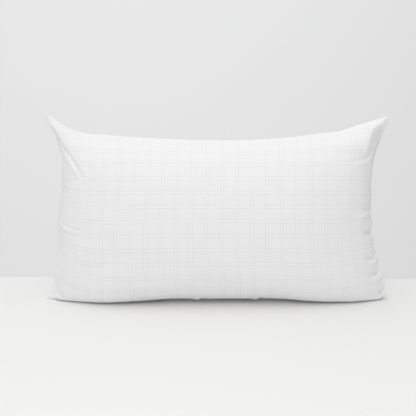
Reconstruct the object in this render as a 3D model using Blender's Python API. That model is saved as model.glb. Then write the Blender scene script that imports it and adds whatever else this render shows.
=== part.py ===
"""King-size bed pillow: a zip-closed cover of woven check cotton over a filled inner pillow.

It stands on its long edge and leans back a little. Metres, +Z up. +X runs along the long edge, the front
faces -Y and the zip closes the end seam at -X. The origin is the bottom centre of the bounding box.

The cover, the inner pillow's ticking and the fill are nested skins of one pillow shape. A skin is a grid
of points at (across, up), each from -1 at one seam to +1 at the opposite seam.
"""

import math
from collections import namedtuple

import bmesh
import bpy
from mathutils import Matrix, Vector

# The pillow
HALF_WIDTH = 0.412  # centre to end seam, at mid-height
TOP_HEIGHT = 0.420  # floor to top seam, at the centre
TOP_DIP = 0.020  # how far the top seam climbs from the centre towards the corners
TOP_EAR_SHARPNESS = 10  # a high power keeps the climb of the ears close to the corners
EAR_WIDTH = 0.042  # how far a corner reaches out past the end seam
EAR_HEIGHT = 0.047  # how far a top corner stands up past the top seam
EAR_START = 0.72  # the end seams run straight up to here
EAR_CURVE = 1.6
FRONT_BULGE = 0.100
BACK_BULGE = 0.106
LEAN = math.radians(8.0)

# Where it stands
SINK = 0.017  # how much of the long edge is pressed flat
BACK_SINK = 0.010  # and how much more behind the seam, where the leaning pillow bears
BACK_SINK_DEPTH = 0.050  # the distance behind the seam at which that is reached
ARCH = 0.008  # clear height under the middle, which bridges the two ends
ARCH_START, ARCH_END = 0.12, 0.42

# Skins: how far each lies inside the cover's outer face, how much shorter it is along the seams, and how
# much shorter still at the zip's end
ZIP_ROOM = 0.008
Skin = namedtuple("Skin", "inset seam_inset end_room")
COVER_OUT = Skin(0.0, 0.0, 0.0)
COVER_IN = Skin(0.0013, 0.0015, 0.0)
LABEL_OUT = Skin(0.0029, 0.0090, ZIP_ROOM)
LABEL_IN = Skin(0.0032, 0.0093, ZIP_ROOM)
TICKING_OUT = Skin(0.0036, 0.0100, ZIP_ROOM)
TICKING_IN = Skin(0.0046, 0.0115, ZIP_ROOM)
FILL_OUT = Skin(0.0058, 0.0170, ZIP_ROOM)
FRONT, BACK = -1, 1
HALF_SEAM_GAP = 0.00015  # half the gap between a skin's front and back panels

# The zip's slot in the cover's end seam
COLUMNS, ROWS = 24, 16
SLOT_FIRST_ROW, SLOT_LAST_ROW = 4, 12
SLOT_HALF = 0.0050
HEM_DEPTH = 0.0055

# The zip: places are (out, side, along) = away from the pillow's end, towards the front, up the seam
CLEARANCE = 0.0003
ZIP_RECESS = 0.0043  # from the end seam in to the middle of the teeth
ZIP_BOTTOM, ZIP_TOP = -0.160, 0.1695
COIL_INNER, COIL_OUTER, COIL_HALF_THICK, COIL_ROUNDING = 0.0007, 0.0029, 0.0012, 0.0006
TAPE_INNER, TAPE_OUTER, TAPE_HALF_LENGTH = 0.0010, 0.0095, 0.176
TAPE_BACK, TAPE_FRONT = -0.0020, -0.0015
STOP_OUTER, STOP_FRONT, STOP_LENGTH, STOP_ROUNDING = 0.0034, 0.0015, 0.0025, 0.0004

# The slider and its pull tab
SLIDER_HALF_LENGTH, SLIDER_HALF_WIDTH = 0.0060, 0.0040
PLATE_THICK, FLANGE_THICK = 0.0012, 0.0008
WEB_HALF_WIDTH, WEB_LENGTH = 0.0004, 0.0025
OVERLAP = 0.0005  # how deep joined boxes run into each other
EDGE_STEP = 0.0001  # keeps the faces of joined boxes off each other's planes
SLIDER_BEVEL = 0.00015
PIVOT_OUT, PIVOT_ALONG = 0.0035, 0.0010
CROWN_HALF_WIDTH, CROWN_HALF_LENGTH, CROWN_BAR, CROWN_HEIGHT = 0.0008, 0.0026, 0.0010, 0.0025
TAB_HALF_WIDTH, TAB_HALF_THICK, TAB_LENGTH = 0.0030, 0.0005, 0.022
TAB_SHOULDER, TAB_CORNER, TAB_CORNER_STEPS = 0.0015, 0.0015, 3
TAB_ARM_INNER, TAB_ARM_OUTER, TAB_EYE_LENGTH = 0.0013, 0.0025, 0.0065

# Looks: colour, roughness
CHECK_COTTON = (0.83, 0.82, 0.81), 0.85
TICKING_COTTON = (0.78, 0.77, 0.75), 0.90
FIBRE = (0.85, 0.85, 0.84), 0.95
LABEL_SATIN = (0.84, 0.84, 0.83), 0.60
ZIP_TAPE = (0.80, 0.80, 0.79), 0.80
ZIP_NYLON = (0.82, 0.82, 0.81), 0.45
ZIP_ENAMEL = (0.80, 0.80, 0.79), 0.35


# The pillow's shape


def smoothstep(value, start, end):
    x = min(1.0, max(0.0, (value - start) / (end - start)))
    return x * x * (3.0 - 2.0 * x)


def seam_to_seam(count):
    """Steps from -1 to 1 that are finest at the seams, where the fabric curves most."""
    return [-math.cos(math.pi * i / count) for i in range(count + 1)]


COLUMN_STEPS = seam_to_seam(COLUMNS)
ROW_STEPS = seam_to_seam(ROWS)


def half_width(up):
    rise = max(0.0, abs(up) - EAR_START) / (1.0 - EAR_START)
    return HALF_WIDTH + EAR_WIDTH * rise**EAR_CURVE


def top_seam(across):
    return TOP_HEIGHT + TOP_DIP * across**2 + EAR_HEIGHT * abs(across) ** TOP_EAR_SHARPNESS


def depth_share(across, up):
    """The bulge's share at this point: 1 in the middle, 0 at the seams, and fuller along the bottom."""
    sideways = (1.0 - across**4) ** 0.6
    upwards = (1.0 - up**2.6) ** 0.6 if up > 0.0 else (1.0 - up**4) ** 0.5
    return sideways * upwards


def sink_at(across, depth, side):
    """How far the long edge is pushed into the floor here, and lifted off it in the middle."""
    on_floor = smoothstep(abs(across), ARCH_START, ARCH_END)
    sink = SINK - (SINK + ARCH) * (1.0 - on_floor)
    if side == BACK:
        sink += BACK_SINK * on_floor * min(1.0, depth / BACK_SINK_DEPTH)
    return sink


def skin_point(across, up, skin, side, half_gap):
    """A skin's point before it is moved over the origin. side is FRONT or BACK."""
    bulge = FRONT_BULGE if side == FRONT else BACK_BULGE
    depth = half_gap + (bulge - skin.inset) * depth_share(across, up)
    shorter = skin.seam_inset + (skin.end_room if across < 0.0 else 0.0)
    across *= 1.0 - shorter / HALF_WIDTH
    up *= 1.0 - 2.0 * skin.seam_inset / TOP_HEIGHT
    top_share = (1.0 + up) / 2.0
    height = top_share * top_seam(across) - (1.0 - top_share) * sink_at(across, depth, side)
    z = max(skin.inset, height)
    return Vector((across * half_width(up), side * depth + z * math.tan(LEAN), z))


def find_centre():
    """The y in the middle of the cover's outer skins, which becomes y = 0."""
    ys = [
        skin_point(across, up, COVER_OUT, side, HALF_SEAM_GAP).y
        for side in (FRONT, BACK)
        for across in COLUMN_STEPS
        for up in ROW_STEPS
    ]
    return (min(ys) + max(ys)) / 2.0


CENTRE_Y = find_centre()


def placed(point):
    return point - Vector((0.0, CENTRE_Y, 0.0))


# Objects and materials


def clear_scene():
    for obj in list(bpy.data.objects):
        bpy.data.objects.remove(obj, do_unlink=True)


def make_material(name, look):
    colour, roughness = look
    material = bpy.data.materials.new(name)
    material.use_nodes = True
    shader = material.node_tree.nodes["Principled BSDF"]
    shader.inputs["Base Color"].default_value = (*colour, 1.0)
    shader.inputs["Roughness"].default_value = roughness
    shader.inputs["Metallic"].default_value = 0.0
    return material


def add_object(name, bm, look, parent=None):
    """Turns a closed bmesh into a named object of its own material, with its faces pointing out."""
    bmesh.ops.recalc_face_normals(bm, faces=bm.faces)
    if bm.calc_volume(signed=True) < 0.0:
        bmesh.ops.reverse_faces(bm, faces=bm.faces)
    mesh = bpy.data.meshes.new(name)
    bm.to_mesh(mesh)
    bm.free()
    mesh.shade_smooth()
    mesh.set_sharp_from_angle(angle=math.radians(35.0))
    mesh.materials.append(make_material(name, look))
    obj = bpy.data.objects.new(name, mesh)
    bpy.context.collection.objects.link(obj)
    obj.parent = parent
    return obj


# Skins


def add_skin(bm, skin, side, half_gap=HALF_SEAM_GAP, columns=COLUMN_STEPS, rows=ROW_STEPS):
    """One skin's vertices and triangles. Each cell is split towards the nearest corner. Returns the grid."""
    grid = [[bm.verts.new(placed(skin_point(s, t, skin, side, half_gap))) for t in rows] for s in columns]
    for i in range(len(columns) - 1):
        for j in range(len(rows) - 1):
            a, b, c, d = grid[i][j], grid[i + 1][j], grid[i + 1][j + 1], grid[i][j + 1]
            if (columns[i] + columns[i + 1]) * (rows[j] + rows[j + 1]) < 0.0:
                a, b, c, d = b, c, d, a
            bm.faces.new((a, b, c))
            bm.faces.new((a, c, d))
    return grid


def rim_of(grid):
    """The grid's outer vertices, once round."""
    bottom = [column[0] for column in grid]
    right = grid[-1][1:]
    top = [column[-1] for column in reversed(grid[:-1])]
    left = grid[0][-2:0:-1]
    return bottom + right + top + left


def join_rims(bm, first, second):
    for i, (a, b) in enumerate(zip(first, second)):
        j = (i + 1) % len(first)
        bm.faces.new((a, first[j], second[j]))
        bm.faces.new((a, second[j], b))


def open_zip_slot(outer, inner, side):
    """Holds a cover panel's end edge off the seam along the zip, and turns its hem in beside the teeth."""
    for row in range(SLOT_FIRST_ROW, SLOT_LAST_ROW + 1):
        outer[0][row].co.y += side * (SLOT_HALF - HALF_SEAM_GAP)
        inner[0][row].co.y += side * (SLOT_HALF - HALF_SEAM_GAP)
        inner[0][row].co.x += HEM_DEPTH - COVER_IN.seam_inset


def make_cover_panel(name, side):
    bm = bmesh.new()
    outer = add_skin(bm, COVER_OUT, side)
    inner = add_skin(bm, COVER_IN, side)
    open_zip_slot(outer, inner, side)
    join_rims(bm, rim_of(outer), rim_of(inner))
    return add_object(name, bm, CHECK_COTTON)


def make_ticking_panel(name, side):
    bm = bmesh.new()
    outer = add_skin(bm, TICKING_OUT, side)
    inner = add_skin(bm, TICKING_IN, side)
    join_rims(bm, rim_of(outer), rim_of(inner))
    return add_object(name, bm, TICKING_COTTON)


def make_fill(name):
    bm = bmesh.new()
    front = add_skin(bm, FILL_OUT, FRONT, 0.0)
    back = add_skin(bm, FILL_OUT, BACK, 0.0)
    for kept, joined in zip(rim_of(front), rim_of(back)):
        bmesh.ops.pointmerge(bm, verts=(kept, joined), merge_co=kept.co.copy())
    return add_object(name, bm, FIBRE)


def make_care_label(name):
    """A blank label on the back of the inner pillow, low down near its far end."""
    columns = COLUMN_STEPS[-5:-3]
    middle_row = ROWS // 2
    rows = ROW_STEPS[middle_row - 2 : middle_row + 1]
    bm = bmesh.new()
    outer = add_skin(bm, LABEL_OUT, BACK, HALF_SEAM_GAP, columns, rows)
    inner = add_skin(bm, LABEL_IN, BACK, HALF_SEAM_GAP, columns, rows)
    join_rims(bm, rim_of(outer), rim_of(inner))
    return add_object(name, bm, LABEL_SATIN)


# Zip


def zip_frame():
    """An empty on the zip's middle: its X points out, its Y to the front and its Z along the zip."""
    end_height = (top_seam(-1.0) - SINK) / 2.0
    middle = placed(Vector((ZIP_RECESS - HALF_WIDTH, end_height * math.tan(LEAN), end_height)))
    out = Vector((-1.0, 0.0, 0.0))
    along = Vector((0.0, math.sin(LEAN), math.cos(LEAN)))
    side = along.cross(out)
    frame = bpy.data.objects.new("zip_frame", None)
    frame.matrix_world = Matrix.Translation(middle) @ Matrix((out, side, along)).transposed().to_4x4()
    bpy.context.collection.objects.link(frame)
    return frame


def box_object(name, low, high, look, parent, rounding=0.0):
    """A box between two corners, with its edges rounded if asked."""
    size = Vector(high) - Vector(low)
    middle = (Vector(high) + Vector(low)) / 2.0
    bm = bmesh.new()
    bmesh.ops.create_cube(bm, size=1.0, matrix=Matrix.Translation(middle) @ Matrix.Diagonal((*size, 1.0)))
    if rounding:
        bmesh.ops.bevel(bm, geom=bm.edges, offset=rounding, segments=2, profile=0.5, affect="EDGES")
    return add_object(name, bm, look, parent)


def mirrored_box(side, inner, outer, lows, highs):
    """A box's corners, with its sideways span on the front (side 1) or the back (side -1) of the seam."""
    near, far = sorted((side * inner, side * outer))
    return (lows[0], near, lows[1]), (highs[0], far, highs[1])


def make_coil(name, side, parent):
    """One row of teeth, as a round-edged bar."""
    lows, highs = (-COIL_HALF_THICK, ZIP_BOTTOM), (COIL_HALF_THICK, ZIP_TOP)
    low, high = mirrored_box(side, COIL_INNER, COIL_OUTER, lows, highs)
    return box_object(name, low, high, ZIP_NYLON, parent, COIL_ROUNDING)


def make_tape(name, side, parent):
    lows, highs = (TAPE_BACK, -TAPE_HALF_LENGTH), (TAPE_FRONT, TAPE_HALF_LENGTH)
    low, high = mirrored_box(side, TAPE_INNER, TAPE_OUTER, lows, highs)
    return box_object(name, low, high, ZIP_TAPE, parent)


def make_top_stop(name, side, parent):
    start = ZIP_TOP + CLEARANCE
    lows, highs = (-COIL_HALF_THICK, start), (STOP_FRONT, start + STOP_LENGTH)
    low, high = mirrored_box(side, COIL_INNER, STOP_OUTER, lows, highs)
    return box_object(name, low, high, ZIP_ENAMEL, parent, STOP_ROUNDING)


def make_bottom_stop(name, parent):
    """One block across the foot of both coils."""
    end = ZIP_BOTTOM - CLEARANCE
    low = (-COIL_HALF_THICK, -STOP_OUTER, end - STOP_LENGTH)
    high = (STOP_FRONT, STOP_OUTER, end)
    return box_object(name, low, high, ZIP_ENAMEL, parent, STOP_ROUNDING)


def union_of_boxes(name, boxes, look, parent):
    """One closed body from overlapping boxes, with its edges eased."""
    first, *others = boxes
    obj = box_object(name, *first, look, parent)
    for number, corners in enumerate(others):
        guide = box_object(f"{name}_guide_{number}", *corners, look, obj)
        guide.hide_render = True
        guide.display_type = "WIRE"
        join = obj.modifiers.new(f"join_{number}", "BOOLEAN")
        join.operation = "UNION"
        join.object = guide
    ease = obj.modifiers.new("ease", "BEVEL")
    ease.width = SLIDER_BEVEL
    ease.segments = 1
    ease.limit_method = "ANGLE"
    return obj


def slider_plates():
    """The outer and the inner plate, and the web that joins them between the two rows of teeth."""
    half, wide = SLIDER_HALF_LENGTH, SLIDER_HALF_WIDTH
    outer_low = COIL_HALF_THICK + CLEARANCE
    inner_high = TAPE_BACK - CLEARANCE
    outer = (outer_low, -wide, -half), (outer_low + PLATE_THICK, wide, half)
    inner = (inner_high - PLATE_THICK, -wide, -half), (inner_high, wide, half)
    web_low = (inner_high - OVERLAP, -WEB_HALF_WIDTH, half - WEB_LENGTH)
    web_high = (outer_low + OVERLAP, WEB_HALF_WIDTH, half - EDGE_STEP)
    return [outer, inner, (web_low, web_high)]


def slider_flanges():
    """The outer plate's edges, turned in over the outsides of the teeth."""
    half, wide = SLIDER_HALF_LENGTH - EDGE_STEP, SLIDER_HALF_WIDTH
    lows = (TAPE_FRONT + CLEARANCE, -half)
    highs = (COIL_HALF_THICK + CLEARANCE + OVERLAP, half)
    return [mirrored_box(side, wide - FLANGE_THICK, wide - EDGE_STEP, lows, highs) for side in (1, -1)]


def slider_crown():
    """Two posts and a bar over them: the bridge that the pull tab hangs from."""
    plate_top = COIL_HALF_THICK + CLEARANCE + PLATE_THICK
    top, wide, half = plate_top + CROWN_HEIGHT, CROWN_HALF_WIDTH, CROWN_HALF_LENGTH
    boxes = []
    for end in (-1, 1):
        near, far = sorted((end * half, end * (half - CROWN_BAR)))
        low = (plate_top - OVERLAP, -wide, PIVOT_ALONG + near)
        boxes.append((low, (top - EDGE_STEP, wide, PIVOT_ALONG + far)))
    wide += EDGE_STEP
    half += EDGE_STEP
    low = (top - CROWN_BAR, -wide, PIVOT_ALONG - half)
    boxes.append((low, (top, wide, PIVOT_ALONG + half)))
    return boxes


def make_slider(name, parent):
    boxes = slider_plates() + slider_flanges() + slider_crown()
    slider = union_of_boxes(name, boxes, ZIP_ENAMEL, parent)
    slider.location = (0.0, 0.0, ZIP_TOP - CLEARANCE - SLIDER_HALF_LENGTH)
    return slider


def tab_outline():
    """Half of the pull tab's outline and then its mirror image, as (side, along) from the pivot."""
    half = [(TAB_ARM_OUTER, TAB_HALF_THICK), (TAB_ARM_OUTER, -TAB_EYE_LENGTH)]
    half.append((TAB_HALF_WIDTH, -TAB_EYE_LENGTH - TAB_SHOULDER))
    for step in range(TAB_CORNER_STEPS + 1):
        angle = math.radians(90.0 * step / TAB_CORNER_STEPS)
        side = TAB_HALF_WIDTH - TAB_CORNER + TAB_CORNER * math.cos(angle)
        half.append((side, TAB_CORNER - TAB_LENGTH - TAB_CORNER * math.sin(angle)))
    return half + [(-side, along) for side, along in reversed(half)]


def make_pull_tab(name, slider):
    """A flat tab whose upper bar passes under the slider's crown, which stands in the tab's eye."""
    bm = bmesh.new()
    inner, top, bottom = TAB_ARM_INNER, -TAB_HALF_THICK, -TAB_EYE_LENGTH
    eye = [(inner, top), (inner, bottom), (-inner, bottom), (-inner, top)]
    edges = []
    for loop in (tab_outline(), eye):
        verts = [bm.verts.new((TAB_HALF_THICK, side, along)) for side, along in loop]
        edges += [bm.edges.new((verts[i - 1], verts[i])) for i in range(len(verts))]
    bmesh.ops.triangle_fill(bm, edges=edges, use_beauty=True)
    extruded = bmesh.ops.extrude_face_region(bm, geom=list(bm.faces), use_keep_orig=True)
    back = [item for item in extruded["geom"] if isinstance(item, bmesh.types.BMVert)]
    bmesh.ops.translate(bm, verts=back, vec=(-2.0 * TAB_HALF_THICK, 0.0, 0.0))
    tab = add_object(name, bm, ZIP_ENAMEL, slider)
    tab.location = (PIVOT_OUT, 0.0, PIVOT_ALONG)
    return tab


def make_zip():
    frame = zip_frame()
    for label, side in (("front", 1), ("back", -1)):
        make_tape(f"zip_tape_{label}", side, frame)
        make_coil(f"zip_coil_{label}", side, frame)
        make_top_stop(f"zip_top_stop_{label}", side, frame)
    make_bottom_stop("zip_bottom_stop", frame)
    make_pull_tab("zip_pull_tab", make_slider("zip_slider", frame))


def build():
    clear_scene()
    for label, side in (("front", FRONT), ("back", BACK)):
        make_cover_panel(f"cover_{label}", side)
        make_ticking_panel(f"inner_pillow_{label}", side)
    make_fill("fibre_fill")
    make_care_label("care_label")
    make_zip()


build()
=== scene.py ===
"""The looks of a zip-closed bed pillow that stands on its long edge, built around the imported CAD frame."""

import math

import bpy
import numpy as np
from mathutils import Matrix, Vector


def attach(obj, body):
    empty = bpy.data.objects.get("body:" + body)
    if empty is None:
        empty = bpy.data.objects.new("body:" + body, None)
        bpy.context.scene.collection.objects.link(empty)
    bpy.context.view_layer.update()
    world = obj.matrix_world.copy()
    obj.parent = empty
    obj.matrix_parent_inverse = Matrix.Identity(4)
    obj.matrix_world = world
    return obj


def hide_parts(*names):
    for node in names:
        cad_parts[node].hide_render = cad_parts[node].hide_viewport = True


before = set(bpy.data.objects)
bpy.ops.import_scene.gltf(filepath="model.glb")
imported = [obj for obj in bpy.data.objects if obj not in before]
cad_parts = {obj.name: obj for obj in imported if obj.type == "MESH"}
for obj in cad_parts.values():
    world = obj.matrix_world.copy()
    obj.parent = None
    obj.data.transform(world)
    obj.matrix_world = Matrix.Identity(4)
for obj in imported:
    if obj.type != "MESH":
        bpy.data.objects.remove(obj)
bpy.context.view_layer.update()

FRONT, BACK = -1, 1

# The cover's two panels, flat, between their seams: u runs along the long edge and v up, from the middle
PANEL_WIDTH, PANEL_HEIGHT = 0.935, 0.515
LEAN = math.radians(8.0)
SEAM_Y = -0.0297  # the seam's plane is at this y on the floor, and leans back from it
FRONT_BULGE, BACK_BULGE = 0.100, 0.106
# The bottom seam bridges off the floor around this x, and is back down on it between these distances
ARCH, ARCH_MIDDLE, ARCH_START, ARCH_END = 0.0050, 0.01, 0.10, 0.36

# The seam's line, as (x, z) on its plane
TOP_SEAM = [
    (-0.455, 0.4915), (-0.418, 0.4685), (-0.391, 0.452), (-0.345, 0.439), (-0.303, 0.4365),
    (-0.234, 0.431), (-0.154, 0.4267), (-0.075, 0.4233), (0.085, 0.4233), (0.191, 0.43),
    (0.27, 0.44), (0.326, 0.447), (0.355, 0.457), (0.408, 0.473), (0.45, 0.486),
]
LEFT_FOOT = [(-0.463, 0.003), (-0.44, 0.017), (-0.431, 0.025)]
LEFT_EAR = [
    (-0.414, 0.384), (-0.4202, 0.405), (-0.4303, 0.434), (-0.4425, 0.4555), (-0.4535, 0.474),
    (-0.455, 0.4915),
]
LEFT_FRONT_SEAM = LEFT_FOOT + [
    (-0.4367, 0.04), (-0.439, 0.065), (-0.4358, 0.092), (-0.4287, 0.1185), (-0.4278, 0.172),
    (-0.4257, 0.23), (-0.4224, 0.265), (-0.415, 0.285), (-0.4134, 0.326),
] + LEFT_EAR
LEFT_BACK_SEAM = LEFT_FOOT + [
    (-0.434, 0.04), (-0.426, 0.065), (-0.416, 0.1), (-0.413, 0.16), (-0.413, 0.326),
] + LEFT_EAR
RIGHT_SEAM = [
    (0.457, 0.003), (0.4545, 0.016), (0.4476, 0.027), (0.4486, 0.046), (0.4415, 0.0675),
    (0.4305, 0.0756), (0.43, 0.1), (0.424, 0.123), (0.417, 0.145), (0.4155, 0.167),
    (0.4084, 0.188), (0.4125, 0.207), (0.4063, 0.233), (0.4084, 0.265), (0.4075, 0.318),
    (0.411, 0.355), (0.418, 0.395), (0.427, 0.418), (0.4346, 0.44), (0.446, 0.46), (0.45, 0.486),
]
BOTTOM_SEAM_Z = 0.0015
LIP_HALF = 0.0050  # half the width of the zipped mouth
LIP_BOTTOM, LIP_TOP, LIP_TAPER = 0.048, 0.428, 0.017  # its ends, and the height over which each one opens
LIP_SHOWN = 0.0002  # a lip narrower than this has no hem
CURVE_STEPS = 2000

# The settling of the cloth
SIM_COLUMNS, SIM_ROWS, SIM_FRAMES = 104, 57, 25
SEAM_EASING = 80  # rounds of averaging
BEND_REACH = 0.025  # how far into the panel a bend in its seam is felt
EVENING_ROUNDS = 4
LEFT_DROP, RIGHT_DROP, DROP_REACH = 0.034, 0.055, 0.13  # how much lower the rows run beside each end
SMOOTHING_ROUNDS = 10
SINK = 0.017  # how far the filling pushes the cloth down where it meets the floor
REST_GAP = 0.002  # what the solver keeps between the cloth and the floor
FLOOR_GAP = 0.0006
TRAY_HALF, TRAY_STEPS = (0.7, 0.4), (71, 5)  # of the floor that the cloth settles on
CLOTH_SETTINGS = {
    "quality": 6, "mass": 0.3, "tension_stiffness": 60.0, "compression_stiffness": 60.0,
    "shear_stiffness": 20.0, "bending_stiffness": 1.0, "tension_damping": 20.0,
    "compression_damping": 20.0, "shear_damping": 20.0, "air_damping": 2.0, "use_pressure": True,
    "uniform_pressure_force": 5.0, "vertex_group_mass": "seam", "pin_stiffness": 1.0,
}

# The finished mesh
EDGE_STEP, EDGE_GROWTH, WIDEST_STEP = 0.0012, 1.30, 0.0031  # the steps widen away from the seams
COVER_THICKNESS, TICKING_THICKNESS = 0.0009, 0.0007

# Folds in the cover: a route of (u, v) points, the widths to its right and left, and a height,
# which is inward if it is below zero
TOP_RIGHT_FOLDS = [
    ([(0.4625, 0.2545), (0.4295, 0.2385), (0.419, 0.224), (0.411, 0.205), (0.403, 0.17)],
     (0.045, 0.017), 0.016),
    ([(0.46, 0.233), (0.448, 0.215), (0.44, 0.19)], (0.01, 0.01), -0.003),
    ([(0.43, 0.202), (0.44, 0.19), (0.45, 0.184)], (0.004, 0.006), 0.0022),
    ([(0.3765, 0.1545), (0.4055, 0.1525), (0.4195, 0.156), (0.4355, 0.166)], (0.004, 0.004), 0.0042),
    ([(0.3695, 0.1625), (0.4045, 0.162), (0.4215, 0.168), (0.432, 0.178)], (0.007, 0.004), -0.004),
]
TOP_LEFT_FOLDS = [
    ([(-0.49, 0.249), (-0.46, 0.245), (-0.44, 0.242)], (0.008, 0.006), -0.0016),
    ([(-0.476, 0.239), (-0.454, 0.235), (-0.43, 0.232)], (0.01, 0.008), 0.0024),
    ([(-0.4465, 0.2545), (-0.4315, 0.2455), (-0.4255, 0.2335)], (0.004, 0.004), 0.0024),
    ([(-0.456, 0.212), (-0.4265, 0.1805), (-0.4035, 0.1635), (-0.383, 0.142),
      (-0.36, 0.113)], (0.022, 0.005), -0.0062),
    ([(-0.434, 0.172), (-0.4105, 0.15), (-0.3905, 0.13), (-0.378, 0.113)], (0.005, 0.01), 0.005),
    ([(-0.452, 0.158), (-0.438, 0.14), (-0.425, 0.115)], (0.007, 0.007), -0.0034),
]
LEFT_FOLDS = [
    ([(-0.462, -0.012), (-0.4315, -0.017), (-0.4155, -0.0205), (-0.3955, -0.0195),
      (-0.3605, -0.015)], (0.004, 0.01), 0.0044),
    ([(-0.445, -0.006), (-0.4035, -0.011), (-0.3835, -0.0105), (-0.35, -0.008)],
     (0.01, 0.0035), -0.004),
    ([(-0.464, -0.1945), (-0.4505, -0.2005), (-0.4285, -0.2115), (-0.4085, -0.2165)],
     (0.006, 0.003), -0.0046),
    ([(-0.464, -0.211), (-0.445, -0.219), (-0.42, -0.229)], (0.005, 0.006), 0.0036),
]
RIGHT_FOLDS = [
    ([(0.3905, 0.019), (0.4225, 0.0225), (0.466, 0.015)], (0.004, 0.009), 0.0046),
    ([(0.3955, 0.032), (0.4225, 0.0345), (0.46, 0.03)], (0.008, 0.004), -0.003),
    ([(0.467, -0.0345), (0.4425, -0.027), (0.4085, -0.02)], (0.0035, 0.009), -0.0058),
    ([(0.465, -0.048), (0.4425, -0.046), (0.4135, -0.04)], (0.007, 0.005), 0.0038),
    ([(0.467, -0.1), (0.4425, -0.0985), (0.4055, -0.0935)], (0.0035, 0.009), -0.0048),
    ([(0.467, -0.115), (0.4425, -0.113), (0.4155, -0.109)], (0.008, 0.005), 0.0036),
    ([(0.467, -0.1585), (0.448, -0.15), (0.4105, -0.138)], (0.0035, 0.01), -0.006),
    ([(0.467, -0.176), (0.448, -0.169), (0.4205, -0.16)], (0.008, 0.005), 0.0042),
    ([(0.4668, -0.226), (0.456, -0.218), (0.435, -0.206)], (0.003, 0.006), -0.007),
    ([(0.464, -0.242), (0.448, -0.233), (0.425, -0.227)], (0.008, 0.005), 0.004),
]
PRESSED_FOLD = [
    ([(0.1865, 0.1155), (0.2105, 0.1405), (0.2325, 0.1615), (0.2515, 0.1795)], (0.0028, 0.0028), 0.0007),
]
BOTTOM_FOLDS = [
    ([(-0.0585, -0.25), (-0.0465, -0.23), (-0.0315, -0.195)], (0.004, 0.004), -0.0042),
    ([(-0.0685, -0.25), (-0.0565, -0.23), (-0.0455, -0.202)], (0.0045, 0.007), 0.0034),
    ([(0.1005, -0.25), (0.1105, -0.23), (0.1185, -0.198)], (0.004, 0.004), -0.0042),
    ([(0.0905, -0.25), (0.1005, -0.23), (0.1055, -0.205)], (0.0045, 0.007), 0.0032),
    ([(-0.235, -0.25), (-0.229, -0.23), (-0.225, -0.206)], (0.004, 0.006), -0.003),
]
FRONT_FOLDS = TOP_RIGHT_FOLDS + TOP_LEFT_FOLDS + LEFT_FOLDS + RIGHT_FOLDS + PRESSED_FOLD + BOTTOM_FOLDS
BACK_FOLDS = [
    ([(0.46, 0.248), (0.433, 0.228), (0.415, 0.193), (0.406, 0.17)], (0.008, 0.008), 0.0036),
    ([(0.464, 0.118), (0.435, 0.111), (0.402, 0.108)], (0.005, 0.005), -0.003),
    ([(0.465, -0.024), (0.433, -0.027), (0.398, -0.02)], (0.005, 0.005), -0.003),
    ([(0.465, -0.134), (0.438, -0.128), (0.408, -0.127)], (0.0055, 0.0055), -0.0032),
    ([(-0.459, 0.245), (-0.432, 0.225), (-0.411, 0.188), (-0.4, 0.16)], (0.008, 0.008), 0.0034),
    ([(-0.445, 0.15), (-0.415, 0.136), (-0.385, 0.129)], (0.006, 0.006), -0.0026),
    ([(-0.45, -0.082), (-0.418, -0.09), (-0.385, -0.087)], (0.006, 0.006), -0.0026),
    ([(-0.18, 0.13), (-0.14, 0.172), (-0.115, 0.198)], (0.003, 0.003), 0.0007),
]
FOLD_POINTS, FOLD_SHARPNESS, FOLD_FADE = 24, 1.2, 0.7
STEEPEST_RISE = 0.5  # of a fold from its seam
DEEPEST_SHARE = 0.35  # of the room between the two panels, that a dent may take

# The top left corner's roundness: its (u, v) point, how far around it, and how much on each side
CORNER_PUFF = (-0.4590, 0.2490), 0.0130, 0.0040
CORNER_EDGE = 0.0045  # the distance from the seam over which it comes up

# Lumps of filling: their size, height and seed, and the distance from the seams over which they come up
LUMPS = (0.11, 0.0008, 3), (0.045, 0.0003, 7)
LUMP_EDGE = 0.08

# Puckers beside the sewn seams, and the dent beside the seam allowance
GATHER_REACH, GATHER_HEIGHT, GATHER_SIZE, GATHER_EDGE = 0.016, 0.0011, 0.026, 0.004
END_GATHERS, EDGE_GATHERS = 1.5, 0.5
END_GATHER_SEED, EDGE_GATHER_SEED = 31, 37
ALLOWANCE_INSET, ALLOWANCE_WIDTH, ALLOWANCE_SHARE = 0.0065, 0.0022, 0.7

# The pillow inside the cover: how deep each layer lies, and how far it stops from the cover's seams
TICKING_DEPTH, FILL_DEPTH, LABEL_DEPTH = 0.0044, 0.0066, 0.0032
SEAM_ROOM, ZIP_ROOM, FILL_ROOM = 0.022, 0.034, 0.006
ZIP_REACH, ZIP_CLEARANCE = 0.200, 0.0016
CLOSING = 0.012  # the distance over which a layer's two sides part
LAYER_COLUMNS, LAYER_ROWS = 96, 60
LAYER_LUMPS, LAYER_LUMP_SIZE, LAYER_LUMP_SEED = 0.0006, 0.07, 53
TICKING_PARTING = 0.0004  # what keeps the two sides of the ticking apart at their seams
LABEL_WIDTH, LABEL_HEIGHT, LABEL_THICKNESS = 0.0236, 0.0915, 0.0003
LABEL_SHARES = 0.935, 0.275  # its middle, as shares across and up the inner pillow
LABEL_COLUMNS, LABEL_ROWS = 13, 41

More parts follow.
